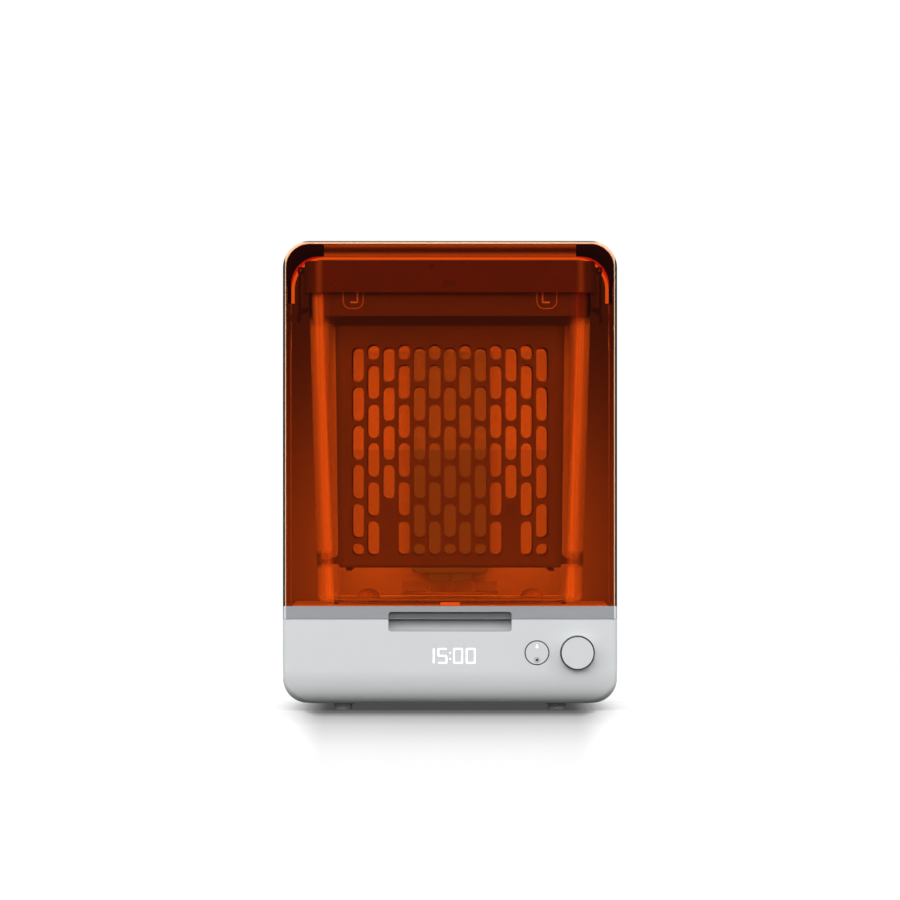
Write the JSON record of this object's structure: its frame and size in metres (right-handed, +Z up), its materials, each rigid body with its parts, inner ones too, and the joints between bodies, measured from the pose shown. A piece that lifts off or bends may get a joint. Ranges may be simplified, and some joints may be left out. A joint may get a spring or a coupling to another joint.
{
  "type": "resin wash and cure station",
  "caption": "Bench-top wash-and-cure station: see-through orange hinged hood over a latched wash bucket with perforated basket, rear light bar, knob and display in a rounded grey base.",
  "frame": {"origin": "bottom centre of the overall box, on the surface the feet stand on", "axes": "+X to the right seen from the front, +Y from the front to the back, +Z up"},
  "size_m": [0.29, 0.3, 0.408],
  "materials": {
    "housing": "fine satin texture",
    "rear_housing": "fine satin texture",
    "trim": "satin",
    "controls": "satin",
    "orange_hood": "polished, see-through",
    "bush_plastic": "satin",
    "deck_plastic": "satin",
    "sensor_black": "polished",
    "display_glass": "lit segments",
    "board_green": "solder mask",
    "switch_plastic": "satin",
    "clear_bucket": "polished, see-through",
    "basket_grey": "satin",
    "lid_dark": "satin",
    "rubber_black": "matt",
    "steel": "brushed",
    "heat_sink_metal": "extruded",
    "diffuser_milk": "milky",
    "led_lens": "clear lens",
    "impeller_white": "satin",
    "motor_metal": "drawn can",
    "magnet_metal": "nickel plated",
    "supply_case": "fine texture"
  },
  "bodies": {
    "base": {"base_shell": "housing", "base_plate": "rear_housing", "plate_screws": "steel", "feet": "rubber_black", "deck": "deck_plastic", "hood_sensor": "sensor_black", "mode_switch": "switch_plastic", "front_board": "board_green", "display_module": "display_glass", "board_posts": "switch_plastic", "encoder": "switch_plastic", "hinge_pins": "steel", "hinge_blocks": "bush_plastic", "column_front": "rear_housing", "column_back": "rear_housing", "column_screws": "steel", "light_diffuser": "diffuser_milk", "led_board": "board_green", "leds": "led_lens", "heat_sink": "heat_sink_metal", "fan_frame": "bush_plastic", "drive_motor": "motor_metal", "motor_bracket": "steel", "control_board": "board_green", "power_supply": "supply_case", "power_inlet": "switch_plastic", "switch_frame": "switch_plastic"},
    "hood": {"hood_shell": "orange_hood", "hood_trim": "trim", "hinge_bushes": "bush_plastic"},
    "bucket_body": {"bucket": "clear_bucket", "basket": "basket_grey", "basket_bails": "steel"},
    "lid": {"bucket_lid": "lid_dark", "lid_gasket": "rubber_black", "latch_pins": "steel"},
    "latch_right_body": {"latch_right": "lid_dark"},
    "latch_left_body": {"latch_left": "lid_dark"},
    "impeller_body": {"impeller": "impeller_white"},
    "drive": {"magnet_carrier": "bush_plastic", "drive_magnets": "magnet_metal"},
    "fan": {"fan_rotor": "bush_plastic"},
    "mode_button_body": {"mode_button": "controls"},
    "knob_slider": {"knob_plunger": "steel"},
    "knob_body": {"knob": "controls"},
    "rocker_body": {"rocker": "switch_plastic"}
  },
  "joints": [
    {"name": "hood_hinge", "type": "hinge", "parent": "base", "child": "hood", "pos_m": [0, 0.125, 0.345], "axis": [-1, 0, 0], "range_deg": [0, 95]},
    {"name": "bucket_lift", "type": "slide", "parent": "base", "child": "bucket_body", "axis": [0, 0, 1], "range_m": [0, 0.008]},
    {"name": "lid_lift", "type": "slide", "parent": "bucket_body", "child": "lid", "axis": [0, 0, 1], "range_m": [0, 0.0008]},
    {"name": "latch_right_swing", "type": "hinge", "parent": "lid", "child": "latch_right_body", "pos_m": [0.1311, -0.025, 0.384], "axis": [0, -1, 0], "range_deg": [0, 8]},
    {"name": "latch_left_swing", "type": "hinge", "parent": "lid", "child": "latch_left_body", "pos_m": [-0.1311, -0.025, 0.384], "axis": [0, 1, 0], "range_deg": [0, 8]},
    {"name": "drive_spin", "type": "hinge", "parent": "base", "child": "drive", "pos_m": [0, -0.025, 0.072], "axis": [0, 0, 1], "continuous": true},
    {"name": "impeller_spin", "type": "hinge", "parent": "bucket_body", "child": "impeller_body", "pos_m": [0, -0.025, 0.105], "axis": [0, 0, 1], "continuous": true},
    {"name": "fan_spin", "type": "hinge", "parent": "base", "child": "fan", "pos_m": [0, 0.14, 0.2495], "axis": [0, 1, 0], "continuous": true},
    {"name": "mode_press", "type": "slide", "parent": "base", "child": "mode_button_body", "axis": [0, 1, 0], "range_m": [0, 0.001], "stiffness_N_per_m": 1500, "springref_m": -0.0005},
    {"name": "knob_press", "type": "slide", "parent": "base", "child": "knob_slider", "axis": [0, 1, 0], "range_m": [0, 0.0008], "stiffness_N_per_m": 2000, "springref_m": -0.0006},
    {"name": "knob_turn", "type": "hinge", "parent": "knob_slider", "child": "knob_body", "pos_m": [0.1107, -0.145, 0.0505], "axis": [0, -1, 0], "continuous": true},
    {"name": "mains_switch", "type": "hinge", "parent": "base", "child": "rocker_body", "pos_m": [-0.062, 0.144, 0.044], "axis": [-1, 0, 0], "range_deg": [0, 14]}
  ],
  "couplings": [
    {"joint": "impeller_spin", "follows": "drive_spin", "ratio": 1}
  ]
}
